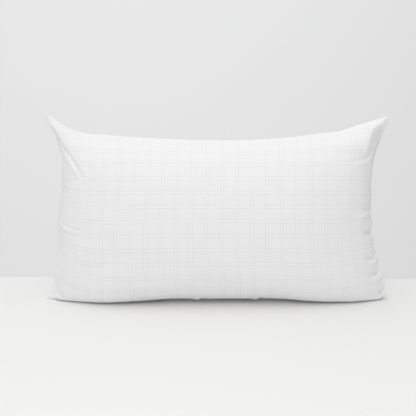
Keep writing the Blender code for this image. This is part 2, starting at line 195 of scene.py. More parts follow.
# The zip, measured from its middle: out to the left, sideways to the front or back, and up along it
ZIP_MIDDLE = np.array([-0.4077, 0.003323, 0.235])
ZIP_OUTWARDS = np.array([-1.0, 0.0, 0.0])
ZIP_SIDEWAYS = np.array([0.0, math.cos(LEAN), -math.sin(LEAN)])
ZIP_UPWARDS = np.array([0.0, math.sin(LEAN), math.cos(LEAN)])
TAPE_OUT, TAPE_INNER, TAPE_WIDTH, TAPE_HALF, TAPE_THICKNESS = -0.00145, 0.0006, 0.0105, 0.1777, 0.0005
TAPE_COLUMNS, TAPE_ROWS = 9, 90
HEM_OUT, HEM_WIDTH, HEM_STEPS_IN, HEM_STEPS_ACROSS = -0.0011, 0.0045, 6, 4
COIL_START, COIL_END, COIL_PITCH = -0.1598, 0.1688, 0.00127
COIL_SIDE, COIL_HALF_WIDTH, COIL_HALF_DEPTH, WIRE_RADIUS = 0.0018, 0.00080, 0.00088, 0.0003
WIRE_SIDES, COIL_STEPS = 5, 10
ENAMELLED = "zip_top_stop_front", "zip_top_stop_back", "zip_bottom_stop", "zip_slider", "zip_pull_tab"
STITCH_INSET, STITCH_PITCH, STITCH_LENGTH, THREAD_RADIUS = 0.0062, 0.0033, 0.0026, 0.00028
STITCH_RISE = np.array([-0.0004, 0.00008, 0.0002, 0.0002, 0.00008, -0.0004])  # off the cloth, and back in

# The check: its cell, where one of its double lines falls, and the lines' spacing and width
CHECK_WIDTH, CHECK_HEIGHT, CHECK_SHIFT_U, CHECK_SHIFT_V = 0.0397, 0.0362, 0.0140, 0.0195
CHECK_PAIR, CHECK_LINE = 0.0080, 0.0017
# How the top corners draw the check down and inwards, and how both ends draw it down
EAR_DRAG, EAR_EASE, EAR_REACH = 0.260, 0.006, 0.12
EAR_LEAN, LEAN_REACH_DOWN, LEAN_REACH_IN = 0.014, 0.06, 0.15
END_DRAG, END_REACH = 0.030, 0.040

# The room's brightness, and how much it changes upwards, to the back, to the right and to both sides
ROOM_LEVEL, ROOM_UP, ROOM_BACK, ROOM_RIGHT, ROOM_SIDES = 0.70, 0.15, 0.10, -0.09, -0.36
ROOM_COLOUR = (1.0, 1.0, 1.005, 1.0)
# Each light: its place, what it is aimed at, its width and its power
SOFT_BOX = (-0.25, -0.5, 2.6), (0.0, 0.0, 0.2), 3.0, 20.5
FRONT_BOX = (-0.1, -2.1, 1.5), (0.0, 0.0, 0.1), 1.4, 7.4
FLOOR_BACK_EDGE, FLOOR_BACK_SLOPE, FLOOR_REACH = 0.1545, -0.0175, 4.0
FLOOR_COLOUR, FLOOR_ROUGHNESS = (0.876, 0.872, 0.864, 1.0), 0.7
CAMERA_PLACE, CAMERA_TARGET, CAMERA_LENS = (-0.027, -1.953, 0.678), (-0.027, 0.0, 0.245), 64.9


# Numbers and lines


def smoothstep(value, start, end):
    """0 before start and 1 after end, smoothly."""
    x = np.clip((value - start) / (end - start), 0.0, 1.0)
    return x * x * (3.0 - 2.0 * x)


def lengths(line):
    """How far along a line each of its points is."""
    return np.r_[0.0, np.cumsum(np.linalg.norm(np.diff(line, axis=0), axis=1))]


def read_off(places, along, rows):
    """Rows of values at these places, between the ones that are given along a line."""
    return np.stack([np.interp(places, along, column) for column in rows.T], 1)


def smooth_line(points, shares):
    """Points at these shares of the length of a smooth curve through the given points."""
    p = np.array(points, float)
    s = lengths(p)
    slope = np.gradient(p, s, axis=0)
    fine = np.linspace(0.0, s[-1], CURVE_STEPS)
    k = np.clip(np.searchsorted(s, fine, side="right") - 1, 0, len(s) - 2)
    h = (s[k + 1] - s[k])[:, None]
    t = ((fine - s[k]) / h[:, 0])[:, None]
    curve = (2 * t**3 - 3 * t**2 + 1) * p[k] + (3 * t**2 - 2 * t**3) * p[k + 1]
    curve += h * ((t**3 - 2 * t**2 + t) * slope[k] + (t**3 - t**2) * slope[k + 1])
    along = lengths(curve)
    return read_off(shares * along[-1], along, curve)


def spline_matrix(places, count):
    """Turns values at count even steps from 0 to 1 into values at these places, along a smooth curve."""
    x = np.clip(places, 0.0, 1.0) * (count - 1)
    k = np.clip(np.floor(x).astype(int), 0, count - 2)
    t = x - k
    weights = [
        (-t + 2 * t**2 - t**3) / 2, (2 - 5 * t**2 + 3 * t**3) / 2,
        (t + 4 * t**2 - 3 * t**3) / 2, (t**3 - t**2) / 2,
    ]
    matrix = np.zeros((len(places), count))
    rows = np.arange(len(places))
    for step, weight in zip((-1, 0, 1, 2), weights):
        at = k + step
        inside = np.clip(at, 0, count - 1)
        np.add.at(matrix, (rows, inside), np.where(at == inside, weight, 2 * weight))
        beyond = np.where(at < 0, 1, count - 2)
        np.add.at(matrix, (rows, beyond), np.where(at == inside, 0.0, -weight))
    return matrix


def graded(length):
    """Places from 0 to 1 across a panel, close together beside its two seams."""
    steps = [EDGE_STEP]
    while steps[-1] * EDGE_GROWTH < WIDEST_STEP:
        steps.append(steps[-1] * EDGE_GROWTH)
    edge = np.cumsum([0.0] + steps)
    middle = np.linspace(edge[-1], length - edge[-1], round((length - 2 * edge[-1]) / WIDEST_STEP) + 1)
    return np.r_[edge, middle[1:-1], length - edge[::-1]] / length


def wavy(u, v, size, seed):
    """A smooth random height between about -1 and 1, with waves of about this size."""
    waves = 14
    random = np.random.default_rng(seed)
    height = 0.0
    for _ in range(waves):
        angle, phase = random.uniform(0.0, 2.0 * math.pi, 2)
        number = 2.0 * math.pi / (size * random.uniform(0.7, 1.6))
        height = height + np.sin(number * (u * math.cos(angle) + v * math.sin(angle)) + phase)
    return height / math.sqrt(waves)


# The seam


def arch(x):
    """How high the pillow's bottom bridges off the floor."""
    return ARCH * (1.0 - smoothstep(np.abs(x - ARCH_MIDDLE), ARCH_START, ARCH_END))


def zip_place(out, side, along):
    """The place this far out from the zip's middle, to the front (below zero) or back, and up along it."""
    out, side, along = (np.asarray(value, float)[..., None] for value in (out, side, along))
    return ZIP_MIDDLE + out * ZIP_OUTWARDS + side * ZIP_SIDEWAYS + along * ZIP_UPWARDS


def seam_plane(xz):
    """Points (x, z) as they lie on the seam's leaning plane."""
    return np.stack([xz[:, 0], SEAM_Y + math.tan(LEAN) * xz[:, 1], xz[:, 1]], 1)


def lip(z):
    """How far a panel's edge is held off the seam's plane, along the zip."""
    return LIP_HALF * smoothstep(z, LIP_BOTTOM, LIP_BOTTOM + LIP_TAPER) * (
        1.0 - smoothstep(z, LIP_TOP - LIP_TAPER, LIP_TOP)
    )


def row_shares(across):
    """Where the rows of the settling grid cross each column: evenly, but a little lower by both ends."""
    t = np.linspace(0.0, 1.0, SIM_ROWS + 1)[None, :]
    left, right = across[:, None] * PANEL_WIDTH, (1.0 - across[:, None]) * PANEL_WIDTH
    drop = LEFT_DROP * np.exp(-left / DROP_REACH) + RIGHT_DROP * np.exp(-right / DROP_REACH)
    return t - drop * np.sin(math.pi * t)


def seam_lines(side):
    """A panel's bottom, top, left and right seams, at the steps of the settling grid."""
    across = np.linspace(0.0, 1.0, SIM_COLUMNS + 1)
    left_up, right_up = row_shares(np.array([0.0, 1.0]))
    top = seam_plane(smooth_line(TOP_SEAM, across))
    left = seam_plane(smooth_line(LEFT_FRONT_SEAM if side == FRONT else LEFT_BACK_SEAM, left_up))
    right = seam_plane(smooth_line(RIGHT_SEAM, right_up))
    start, end = LEFT_FRONT_SEAM[0][0], RIGHT_SEAM[0][0]
    x = start + (end - start) * across
    bottom = seam_plane(np.stack([x, BOTTOM_SEAM_Z + arch(x)], 1))
    left[:, 1] += side * lip(left[:, 2])
    return bottom, top, left, right


# Settling the cloth


def eased(line):
    """A seam without its short bends, between the same two ends."""
    line = line.copy()
    for _ in range(SEAM_EASING):
        line[1:-1] = 0.5 * line[1:-1] + 0.25 * (line[:-2] + line[2:])
    return line


def spaced(lines, shares):
    """The same lines with their points at these shares of each line's length."""
    made = []
    for line, places in zip(lines, shares):
        along = lengths(line)
        made.append(read_off(places * along[-1], along, line))
    return np.array(made)


def evened(grid):
    """The same surface with its points spread evenly along each row, and by their shares up each column."""
    across, up = np.linspace(0.0, 1.0, len(grid)), row_shares(np.linspace(0.0, 1.0, len(grid)))
    for _ in range(EVENING_ROUNDS):
        grid = spaced(grid.transpose(1, 0, 2), [across] * grid.shape[1]).transpose(1, 0, 2)
        grid = spaced(grid, up)
    return grid


def starting_shape(side):
    """A filled panel before its cloth settles, as a grid of points."""
    seams = seam_lines(side)
    bottom, top, left, right = [eased(line) for line in seams]
    s = np.linspace(0.0, 1.0, SIM_COLUMNS + 1)[:, None, None]
    t = np.linspace(0.0, 1.0, SIM_ROWS + 1)[None, :, None]
    corners = (1 - t) * ((1 - s) * bottom[0] + s * bottom[-1]) + t * ((1 - s) * top[0] + s * top[-1])
    grid = (1 - t) * bottom[:, None] + t * top[:, None] + (1 - s) * left + s * right - corners
    across, up = 2.0 * s[:, :, 0] - 1.0, 2.0 * t[:, :, 0] - 1.0
    fullness = np.where(up > 0.0, (1.0 - np.abs(up) ** 2.6) ** 0.6, (1.0 - up**4) ** 0.5)
    bulge = FRONT_BULGE if side == FRONT else BACK_BULGE
    grid[:, :, 1] += side * bulge * (1.0 - across**4) ** 0.6 * fullness
    x = grid[:, :, 0]
    sink = SINK * smoothstep(np.abs(x - ARCH_MIDDLE), ARCH_START, ARCH_END)
    grid[:, :, 2] -= (1.0 - t[:, :, 0]) * sink
    grid = evened(grid)
    distances = t * PANEL_HEIGHT, (1 - t) * PANEL_HEIGHT, s * PANEL_WIDTH, (1 - s) * PANEL_WIDTH
    spread = (slice(None), None), (slice(None), None), (None, slice(None)), (None, slice(None))
    for seam, smooth, distance, axes in zip(seams, (bottom, top, left, right), distances, spread):
        grid += (seam - smooth)[axes] * np.exp(-distance / BEND_REACH)
    grid[:, :, 2] = np.maximum(grid[:, :, 2], arch(grid[:, :, 0]) + FLOOR_GAP)
    grid[0], grid[-1], grid[:, 0], grid[:, -1] = seams[2], seams[3], seams[0], seams[1]
    return grid


def grid_faces(index, side):
    """A grid's quads, facing away from the pillow."""
    a, b, c, d = index[:-1, :-1], index[1:, :-1], index[1:, 1:], index[:-1, 1:]
    order = (a, b, c, d) if side == FRONT else (a, d, c, b)
    return np.stack([corner.ravel() for corner in order], 1)


def mesh_object(name, points, faces):
    """An object from an array of points and a list of faces."""
    mesh = bpy.data.meshes.new(name)
    mesh.from_pydata(np.asarray(points).tolist(), [], faces)
    mesh.update()
    obj = bpy.data.objects.new(name, mesh)
    bpy.context.scene.collection.objects.link(obj)
    return obj


def rim(shape):
    """Which points of a grid are on its rim."""
    edge = np.ones(shape, bool)
    edge[1:-1, 1:-1] = False
    return edge


def sewn_object(name, front, back, sewn):
    """Two grids as one object, which shares their sewn points, and where each grid's points are in it."""
    front_index = np.arange(sewn.size).reshape(sewn.shape)
    back_index = front_index + sewn.size
    back_index[sewn] = front_index[sewn]
    used, compact = np.unique(np.r_[front_index.ravel(), back_index.ravel()], return_inverse=True)
    front_index, back_index = compact.reshape(2, *sewn.shape)
    points = np.concatenate([front.reshape(-1, 3), back.reshape(-1, 3)])[used]
    faces = np.concatenate([grid_faces(front_index, FRONT), grid_faces(back_index, BACK)])
    return mesh_object(name, points, faces.tolist()), front_index, back_index


def settling_floor():
    """What the cloth settles on: flat, but raised where the pillow bridges."""
    xs, ys = (np.linspace(-half, half, steps) for half, steps in zip(TRAY_HALF, TRAY_STEPS))
    points = [(x, y, float(arch(x)) - REST_GAP) for x in xs for y in ys]
    faces = grid_faces(np.arange(len(points)).reshape(len(xs), len(ys)), FRONT)
    floor = mesh_object("settling_floor", points, faces.tolist())
    floor.modifiers.new("collision", "COLLISION")
    floor.collision.thickness_outer = 0.001
    floor.collision.cloth_friction = 5.0
    return floor


def flat_points():
    """The settling grid on the uncut flat panel."""
    u = np.linspace(-PANEL_WIDTH / 2, PANEL_WIDTH / 2, SIM_COLUMNS + 1)
    v = np.linspace(-PANEL_HEIGHT / 2, PANEL_HEIGHT / 2, SIM_ROWS + 1)
    flat = np.zeros((len(u), len(v), 3))
    flat[:, :, 0], flat[:, :, 2] = u[:, None], v[None, :]
    return flat


def add_cloth(obj, flat_key):
    """Cloth that air pressure fills, and that keeps the lengths it has when it lies flat."""
    modifier = obj.modifiers.new("cloth", "CLOTH")
    modifier.point_cache.frame_start = 1
    modifier.point_cache.frame_end = SIM_FRAMES
    for key, value in CLOTH_SETTINGS.items():
        setattr(modifier.settings, key, value)
    modifier.settings.rest_shape_key = flat_key
    modifier.settings.effector_weights.gravity = 0.0
    modifier.collision_settings.distance_min = REST_GAP
    modifier.collision_settings.collision_quality = 3


def smoothed(grid):
    """The settled cloth without its smallest wrinkles, between the same seams."""
    grid = grid.copy()
    for _ in range(SMOOTHING_ROUNDS):
        around = grid[:-2, 1:-1] + grid[2:, 1:-1] + grid[1:-1, :-2] + grid[1:-1, 2:]
        grid[1:-1, 1:-1] = 0.5 * grid[1:-1, 1:-1] + 0.125 * around
    return grid


def settle_cloth():
    """Blows both panels out from the seam that they are sewn along, and returns their grids of points."""
    front, back = starting_shape(FRONT), starting_shape(BACK)
    edge = rim(front.shape[:2])
    sewn = edge.copy()
    sewn[0] = lip(front[0, :, 2]) == 0.0
    cloth, front_index, back_index = sewn_object("settling_cloth", front, back, sewn)
    cloth.shape_key_add(name="filled")
    flat_key = cloth.shape_key_add(name="flat")
    flat = np.zeros((len(cloth.data.vertices), 3), np.float32)
    flat[front_index] = flat[back_index] = flat_points()
    flat_key.data.foreach_set("co", flat.ravel())
    pinned = np.unique(np.r_[front_index[edge], back_index[edge]])
    cloth.vertex_groups.new(name="seam").add(pinned.tolist(), 1.0, "REPLACE")
    floor = settling_floor()
    add_cloth(cloth, flat_key)
    scene = bpy.context.scene
    scene.frame_start, scene.frame_end = 1, SIM_FRAMES
    for number in range(1, SIM_FRAMES + 1):
        scene.frame_set(number)
    settled = cloth.evaluated_get(bpy.context.evaluated_depsgraph_get())
    co = np.zeros(flat.size, np.float32)
    settled.data.vertices.foreach_get("co", co)
    co = co.reshape(-1, 3).astype(float)
    for helper in (cloth, floor):
        bpy.data.objects.remove(helper, do_unlink=True)
    scene.frame_set(1)
    return smoothed(co[front_index]), smoothed(co[back_index])


# Finishing the cloth


def outward(grid, side):
    """The unit normals of a grid of points, away from the pillow."""
    normal = np.cross(np.gradient(grid, axis=0), np.gradient(grid, axis=1)) * -side
    return normal / np.maximum(np.linalg.norm(normal, axis=2, keepdims=True), 1e-12)


class Panel:
    """A panel's smooth surface: points on a fine grid, with each point's place (u, v) on the flat cloth."""

    def __init__(self, settled, side):
        self.side = side
        s, t = graded(PANEL_WIDTH), graded(PANEL_HEIGHT)
        across = spline_matrix(s, settled.shape[0])
        up = spline_matrix(t, settled.shape[1])
        self.points = np.einsum("ai,bj,ijk->abk", across, up, settled)
        self.u, self.v = np.meshgrid((s - 0.5) * PANEL_WIDTH, (t - 0.5) * PANEL_HEIGHT, indexing="ij")

    def seam_distance(self):
        """How far each point is from the nearest seam, on the flat cloth."""
        return np.minimum(PANEL_WIDTH / 2 - np.abs(self.u), PANEL_HEIGHT / 2 - np.abs(self.v))

    def push(self, height):
        """Moves each point this far outward."""
        self.points += outward(self.points, self.side) * height[:, :, None]


def fold(panel, route, widths, height):
    """A long ridge or dent along a route of (u, v) points, fading out at its two ends."""
    points = smooth_line(route, np.linspace(0.0, 1.0, FOLD_POINTS))
    nearest = np.full(panel.u.shape, 1e9)
    share = np.zeros(panel.u.shape)
    width = np.full(panel.u.shape, widths[0])
    for number, (a, b) in enumerate(zip(points[:-1], points[1:])):
        step = b - a
        du, dv = panel.u - a[0], panel.v - a[1]
        t = np.clip((du * step[0] + dv * step[1]) / (step @ step), 0.0, 1.0)
        distance = np.hypot(du - t * step[0], dv - t * step[1])
        closer = distance < nearest
        nearest[closer] = distance[closer]
        share[closer] = ((number + t) / (len(points) - 1))[closer]
        to_the_left = step[0] * dv - step[1] * du > 0.0
        width[closer] = np.where(to_the_left, widths[1], widths[0])[closer]
    fade = np.clip(4.0 * share * (1.0 - share), 0.0, 1.0) ** FOLD_FADE
    return height * np.exp(-((nearest / width) ** FOLD_SHARPNESS)) * fade


def gathers(panel):
    """Small puckers that run in from the sewn seams, and a shallow dent beside the seam allowance."""
    u, v = panel.u, panel.v
    ends, edges = PANEL_WIDTH / 2 - u, PANEL_HEIGHT / 2 - np.abs(v)
    end_waves = wavy(v, 0.0, GATHER_SIZE, END_GATHER_SEED + panel.side)
    edge_waves = wavy(u, 0.0, 2.0 * GATHER_SIZE, EDGE_GATHER_SEED + panel.side)
    height = END_GATHERS * np.exp(-ends / GATHER_REACH) * end_waves
    height += EDGE_GATHERS * np.exp(-edges / GATHER_REACH) * edge_waves
    sewn = smoothstep(panel.seam_distance(), 0.0, GATHER_EDGE)
    allowance = np.exp(-(((panel.seam_distance() - ALLOWANCE_INSET) / ALLOWANCE_WIDTH) ** 2))
    return GATHER_HEIGHT * (height * sewn - ALLOWANCE_SHARE * allowance)


def round_corner(panel):
    """Rounds out the top left corner, which the blown cloth leaves too thin."""
    (u, v), reach, height = CORNER_PUFF
    share = np.exp(-((panel.u - u) ** 2 + (panel.v - v) ** 2) / reach**2)
    share *= smoothstep(panel.seam_distance(), 0.0, CORNER_EDGE)
    panel.points[:, :, 1] += panel.side * height * share


def finish_cover(panel, room):
    """Lumps of filling, seam gathers and the cover's own folds, with this much room to the other panel."""
    inside = smoothstep(panel.seam_distance(), 0.0, LUMP_EDGE)
    height = np.zeros(panel.u.shape)
    for size, lift, seed in LUMPS:
        height += lift * inside * wavy(panel.u, panel.v, size, seed + panel.side)
    height += gathers(panel)
    for route, widths, lift in FRONT_FOLDS if panel.side == FRONT else BACK_FOLDS:
        height += fold(panel, route, widths, lift)
    most = STEEPEST_RISE * panel.seam_distance()
    height = np.clip(height, -np.minimum(most, DEEPEST_SHARE * room), most)
    panel.push(height + COVER_THICKNESS)
    panel.points[:, :, 2] = np.maximum(panel.points[:, :, 2], FLOOR_GAP)


def check_place(panel):
    """The check's place on a panel: flat, but drawn down and in by the top corners, and down by the ends."""
    up = panel.v / PANEL_HEIGHT + 0.5
    end, top = PANEL_WIDTH / 2 - np.abs(panel.u), PANEL_HEIGHT / 2 - panel.v
    below_top = np.sqrt(1.0 - up + EAR_EASE) - math.sqrt(EAR_EASE)
    drag = EAR_DRAG * up**4 * below_top * np.exp(-end / EAR_REACH)
    drag += END_DRAG * np.sin(math.pi * up**0.6) * np.exp(-end / END_REACH)
    lean = EAR_LEAN * np.exp(-top / LEAN_REACH_DOWN - end / LEAN_REACH_IN)
    return panel.u + np.sign(panel.u) * lean, panel.v + drag * PANEL_HEIGHT


def hem(panel):
    """The cloth turned in beside the zip: its rows, its points, and how far along it each point is.

    It runs from the lip in to the tape, and then sideways over the tape.
    """
    edge = panel.points[0]
    rows = np.flatnonzero(lip(edge[:, 2]) > LIP_SHOWN)
    level = ZIP_MIDDLE[0] - HEM_OUT
    points = []
    for share in np.linspace(0.0, 1.0, HEM_STEPS_IN + 1)[1:]:
        column = edge[rows].copy()
        column[:, 0] += share * (level - column[:, 0])
        points.append(column)
    for share in np.linspace(0.0, 1.0, HEM_STEPS_ACROSS + 1)[1:]:
        points.append(column + share * HEM_WIDTH * panel.side * ZIP_SIDEWAYS)
    points = np.array(points[::-1])
    steps = np.linalg.norm(np.diff(np.concatenate([points, edge[None, rows]]), axis=0), axis=2)
    return rows, points, np.cumsum(steps[::-1], axis=0)[::-1]


def flat_cloth(name, points, faces, flat, thickness, material):
    """A piece of cloth with its thickness behind its faces, and its flat shape as its UV map."""
    obj = mesh_object(name, points, faces.tolist())
    mesh = obj.data
    loops = np.zeros(len(mesh.loops), np.int32)
    mesh.loops.foreach_get("vertex_index", loops)
    mesh.uv_layers.new(name="flat").data.foreach_set("uv", flat[loops].astype(np.float32).ravel())
    mesh.shade_smooth()
    mesh.materials.append(material)
    body = obj.modifiers.new("thickness", "SOLIDIFY")
    body.thickness = thickness
    body.offset = -1.0
    return obj


def grid_cloth(name, points, side, flat_size, thickness, material):
    """A piece of cloth from one grid of points."""
    columns, rows = points.shape[:2]
    places = [np.linspace(-0.5, 0.5, count) * size for count, size in zip((columns, rows), flat_size)]
    u, v = np.meshgrid(*places, indexing="ij")
    faces = grid_faces(np.arange(columns * rows).reshape(columns, rows), side)
    flat = np.stack([u.ravel(), v.ravel()], 1)
    return flat_cloth(name, points.reshape(-1, 3), faces, flat, thickness, material)


def cover_cloth(name, panel, material):
    """A finished panel of the cover, with its hem."""
    index = np.arange(panel.u.size).reshape(panel.u.shape)
    rows, points, turned_in = hem(panel)
    hem_index = panel.u.size + np.arange(points[:, :, 0].size).reshape(points.shape[:2])
    joined = np.concatenate([hem_index, index[:1, rows]])
    faces = np.concatenate([grid_faces(index, panel.side), grid_faces(joined, panel.side)])
    places = np.concatenate([panel.points.reshape(-1, 3), points.reshape(-1, 3)])
    panel_u, panel_v = check_place(panel)
    u = panel_u[:1, rows] - turned_in
    v = np.repeat(panel_v[:1, rows], len(u), 0)
    flat = np.stack([np.r_[panel_u.ravel(), u.ravel()], np.r_[panel_v.ravel(), v.ravel()]], 1)
    return flat_cloth(name, places, faces, flat, COVER_THICKNESS, material)


# The pillow inside


class Inside:
    """Layers that follow the settled cover from inside it, and close before they reach its seams."""

    def __init__(self, front, back):
        self.skins = {FRONT: front, BACK: back}

    def layer(self, side, across, up, depth, extra=0.0):
        """A layer's points on one side, at these shares across and up it."""
        left, edge = ZIP_ROOM + extra, SEAM_ROOM + extra
        width, height = PANEL_WIDTH - left - edge, PANEL_HEIGHT - 2.0 * edge
        s = spline_matrix((left + across * width) / PANEL_WIDTH, SIM_COLUMNS + 1)
        t = spline_matrix((edge + up * height) / PANEL_HEIGHT, SIM_ROWS + 1)
        u, v = (across * width)[:, None], (up * height)[None, :]
        lumps = np.abs(1.0 + wavy(u, v, LAYER_LUMP_SIZE, LAYER_LUMP_SEED + side))
        inner = {}
        for each, skin in self.skins.items():
            points = np.einsum("ai,bj,ijk->abk", s, t, skin)
            inner[each] = points - outward(points, each) * (depth + LAYER_LUMPS * lumps)[:, :, None]
        middle = (inner[FRONT] + inner[BACK]) / 2.0
        parting = [1.0 - np.exp(-share * size / CLOSING) for share, size in (
            (across, width), (1.0 - across, width), (up, height), (1.0 - up, height)
        )]
        open_share = (parting[0] * parting[1])[:, None] * (parting[2] * parting[3])[None, :]
        return clear_of_zip(middle + (inner[side] - middle) * open_share[:, :, None], depth)


def clear_of_zip(points, depth):
    """Keeps a layer off the slider's inner face, all the way that it travels."""
    beyond = np.maximum(np.abs((points - ZIP_MIDDLE) @ ZIP_UPWARDS) - ZIP_REACH, 0.0)
    limit = ZIP_MIDDLE[0] + ZIP_CLEARANCE + depth - beyond
    points[:, :, 0] = np.maximum(points[:, :, 0], limit)
    return points


def layer_shares(count):
    """Shares from 0 to 1, closer together near both ends."""
    even = np.linspace(0.0, 1.0, count + 1)
    rounded = 0.5 - 0.5 * np.cos(math.pi * even)
    return 0.35 * even + 0.65 * rounded


def ticking_size():
    """The flat size of each side of the inner pillow."""
    return PANEL_WIDTH - ZIP_ROOM - SEAM_ROOM, PANEL_HEIGHT - 2.0 * SEAM_ROOM


def make_inner_pillow(inside, ticking):
    """The two sides of the inner pillow's case."""
    size = ticking_size()
    across, up = layer_shares(LAYER_COLUMNS), layer_shares(LAYER_ROWS)
    for label, side in (("front", FRONT), ("back", BACK)):
        points = inside.layer(side, across, up, TICKING_DEPTH)
        points += side * np.array([0.0, TICKING_PARTING, 0.0])
        name = f"inner_pillow_{label}"
        cloth = grid_cloth(f"{name}_cloth", points, side, size, TICKING_THICKNESS, ticking)
        place(cloth, "pillow", "ticking_cotton", name)


def make_fill(inside, fibre):
    """A closed lump of fibre, full and soft."""
    across, up = layer_shares(LAYER_COLUMNS), layer_shares(LAYER_ROWS)
    front = inside.layer(FRONT, across, up, FILL_DEPTH, FILL_ROOM)
    back = inside.layer(BACK, across, up, FILL_DEPTH, FILL_ROOM)
    fill, _, _ = sewn_object("fibre_fill_padding", front, back, rim(front.shape[:2]))
    fill.data.shade_smooth()
    fill.data.materials.append(fibre)
    place(fill, "pillow", "fibre", "fibre_fill")


def make_label(inside, satin):
    """A blank label on the back of the inner pillow."""
    width, height = ticking_size()
    across = LABEL_SHARES[0] + np.linspace(-0.5, 0.5, LABEL_COLUMNS) * LABEL_WIDTH / width
    up = LABEL_SHARES[1] + np.linspace(-0.5, 0.5, LABEL_ROWS) * LABEL_HEIGHT / height
    points = inside.layer(BACK, across, up, LABEL_DEPTH)
    size = LABEL_WIDTH, LABEL_HEIGHT
    label = grid_cloth("care_label_satin", points, BACK, size, LABEL_THICKNESS, satin)
    place(label, "pillow", "label_satin", "care_label")


# The zip


def tubes(name, paths, radius, reference, material):
    """Round threads or wires along paths, none of which runs along the reference direction."""
    angles = np.linspace(0.0, 2.0 * math.pi, WIRE_SIDES, endpoint=False)
    points, faces, start = [], [], 0
    for path in paths:
        forward = np.gradient(path, axis=0)
        first = np.cross(forward, reference)
        first /= np.linalg.norm(first, axis=1, keepdims=True)
        second = np.cross(forward, first)
        second /= np.linalg.norm(second, axis=1, keepdims=True)
        ring = np.cos(angles)[:, None, None] * first + np.sin(angles)[:, None, None] * second
        points.append((path + radius * ring).transpose(1, 0, 2).reshape(-1, 3))
        index = start + np.arange(len(path) * WIRE_SIDES).reshape(len(path), WIRE_SIDES)
        wrapped = np.concatenate([index, index[:, :1]], 1)
        faces += grid_faces(wrapped, BACK).tolist()
        faces += [index[0].tolist(), index[-1][::-1].tolist()]
        start += index.size
    obj = mesh_object(name, np.concatenate(points), faces)
    obj.data.shade_smooth()
    obj.data.materials.append(material)
    return obj


def make_coil(label, side, nylon):
    """One row of teeth: a flattened helix of nylon wire."""
    turns = (COIL_END - COIL_START) / COIL_PITCH
    turn = np.linspace(0.0, turns, round(turns * COIL_STEPS) + 1)
    if side == BACK:
        turn = turn + 0.5
    angle = 2.0 * math.pi * turn
    along = COIL_START + np.linspace(0.0, 1.0, len(turn)) * (COIL_END - COIL_START)
    sideways = side * (COIL_SIDE + COIL_HALF_WIDTH * np.cos(angle))
    path = zip_place(COIL_HALF_DEPTH * np.sin(angle), sideways, along)
    coil = tubes(f"zip_coil_{label}_teeth", [path], WIRE_RADIUS, ZIP_UPWARDS, nylon)
    place(coil, "pillow", "zip_nylon", f"zip_coil_{label}")


def make_tape(label, side, weave):
    """The woven tape that carries one row of teeth."""
    size = TAPE_WIDTH, 2.0 * TAPE_HALF
    sideways = side * (TAPE_INNER + np.linspace(0.0, 1.0, TAPE_COLUMNS) * TAPE_WIDTH)
    along = np.linspace(-TAPE_HALF, TAPE_HALF, TAPE_ROWS)
    points = zip_place(TAPE_OUT, *np.meshgrid(sideways, along, indexing="ij"))
    tape = grid_cloth(f"zip_tape_{label}_weave", points, -side, size, TAPE_THICKNESS, weave)
    place(tape, "pillow", "zip_tape", f"zip_tape_{label}")


def stitch_paths(panel):
    """Short threads along the lip beside the zip."""
    column = int(np.argmin(np.abs(panel.u[:, 0] + PANEL_WIDTH / 2 - STITCH_INSET)))
    line, normal = panel.points[column], outward(panel.points, panel.side)[column]
    along = lengths(line)
    held = along[lip(line[:, 2]) > 0.5 * LIP_HALF]
    paths = []
    for start in np.arange(held[0], held[-1], STITCH_PITCH):
        places = start + np.linspace(0.0, STITCH_LENGTH, len(STITCH_RISE))
        facing = read_off(places, along, normal)
        paths.append(read_off(places, along, line) + facing * STITCH_RISE[:, None])
    return paths


def place(obj, body, slot, *nodes):
    """Makes a piece follow a body and stand for its CAD nodes, which it hides; the slot is not used."""
    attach(obj, body)
    if nodes:
        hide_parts(*nodes)


# Materials

CLOTH_SHEEN = (("Sheen Weight", 0.15), ("Sheen Roughness", 0.5), ("Specular IOR Level", 0.25))


class Tree:
    """Writes the nodes of one tree."""

    def __init__(self, tree):
        self.nodes, self.links = tree.nodes, tree.links

    def node(self, kind, **properties):
        made = self.nodes.new(kind)
        for key, value in properties.items():
            setattr(made, key, value)
        return made

    def feed(self, socket, value):
        """Links a socket to another socket, or gives it a number or a colour."""
        if isinstance(value, bpy.types.NodeSocket):
            self.links.new(value, socket)
        else:
            socket.default_value = value

    def math(self, operation, *values):
        made = self.node("ShaderNodeMath", operation=operation)
        for socket, value in zip(made.inputs, values):
            self.feed(socket, value)
        return made.outputs[0]

    def place(self, node, output):
        """A place's three parts, from a node's output."""
        split = self.node("ShaderNodeSeparateXYZ")
        self.links.new(node.outputs[output], split.inputs[0])
        return split.outputs


